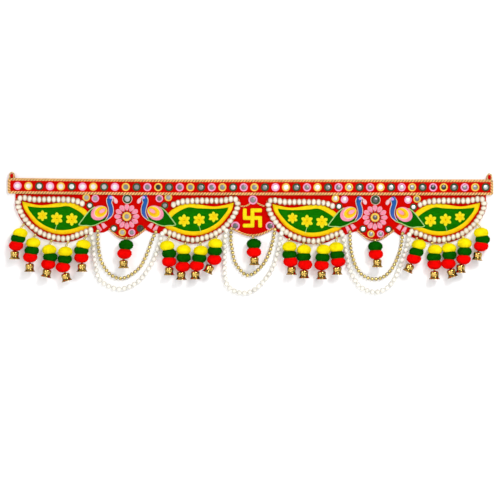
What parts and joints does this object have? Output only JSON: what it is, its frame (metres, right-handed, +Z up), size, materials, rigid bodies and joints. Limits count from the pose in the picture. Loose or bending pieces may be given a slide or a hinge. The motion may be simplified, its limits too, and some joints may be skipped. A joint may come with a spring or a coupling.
{
  "type": "toran door hanging",
  "caption": "Scalloped red velvet door hanging with a mirrored header, embroidered leaves, birds and flowers, bead swags, and pompom drops that end in bells.",
  "frame": {"origin": "middle of the header's top edge, on the plane of the wall behind it", "axes": "+X along the header to the right as seen from the front, +Y into the wall, +Z up"},
  "size_m": [0.97, 0.0274, 0.2436],
  "materials": {
    "red_velvet": "deep red velvet with a short pile",
    "gold_piping": "twisted gold cord piping",
    "green_thread": "satin stitch in green, yellow and pink thread",
    "pink_thread": "satin stitch in pink thread",
    "yellow_thread": "satin stitch in yellow thread",
    "pompom_yarn": "cut wool yarn, yellow, green and red",
    "brass": "polished brass, slightly tarnished",
    "gold_bead": "metallised gold beads on a thread",
    "pearl_bead": "ivory pearl beads on a thread",
    "mirror_glass": "small round mirror glass"
  },
  "bodies": {
    "root": {"base_panel": "red_velvet", "bell_01": "brass", "bell_02": "brass", "bell_03": "brass", "bell_04": "brass", "bell_05": "brass", "bell_06": "brass", "bell_07": "brass", "bell_08": "brass", "bell_09": "brass", "bell_10": "brass", "bell_11": "brass", "bell_12": "brass", "bell_13": "brass", "bell_14": "brass", "bell_15": "brass", "bell_16": "brass", "bell_17": "brass", "bell_18": "brass", "bell_19": "brass", "bell_20": "brass", "bell_21": "brass", "centre_sign": "yellow_thread", "flower_1": "pink_thread", "flower_2": "pink_thread", "gold_chain_1": "gold_bead", "gold_chain_2": "gold_bead", "gold_chain_3": "gold_bead", "hanger_tab_left": "red_velvet", "hanger_tab_right": "red_velvet", "header_band": "red_velvet", "header_piping": "gold_piping", "leaf_bird_1": "green_thread", "leaf_bird_2": "green_thread", "leaf_bird_3": "green_thread", "leaf_bird_4": "green_thread", "pearl_strand_1": "pearl_bead", "pearl_strand_2": "pearl_bead", "pearl_strand_3": "pearl_bead", "pompom_drop_01": "pompom_yarn", "pompom_drop_02": "pompom_yarn", "pompom_drop_03": "pompom_yarn", "pompom_drop_04": "pompom_yarn", "pompom_drop_05": "pompom_yarn", "pompom_drop_06": "pompom_yarn", "pompom_drop_07": "pompom_yarn", "pompom_drop_08": "pompom_yarn", "pompom_drop_09": "pompom_yarn", "pompom_drop_10": "pompom_yarn", "pompom_drop_11": "pompom_yarn", "pompom_drop_12": "pompom_yarn", "pompom_drop_13": "pompom_yarn", "pompom_drop_14": "pompom_yarn", "pompom_drop_15": "pompom_yarn", "pompom_drop_16": "pompom_yarn", "pompom_drop_17": "pompom_yarn", "pompom_drop_18": "pompom_yarn", "pompom_drop_19": "pompom_yarn", "pompom_drop_20": "pompom_yarn", "pompom_drop_21": "pompom_yarn"}
  },
  "joints": []
}
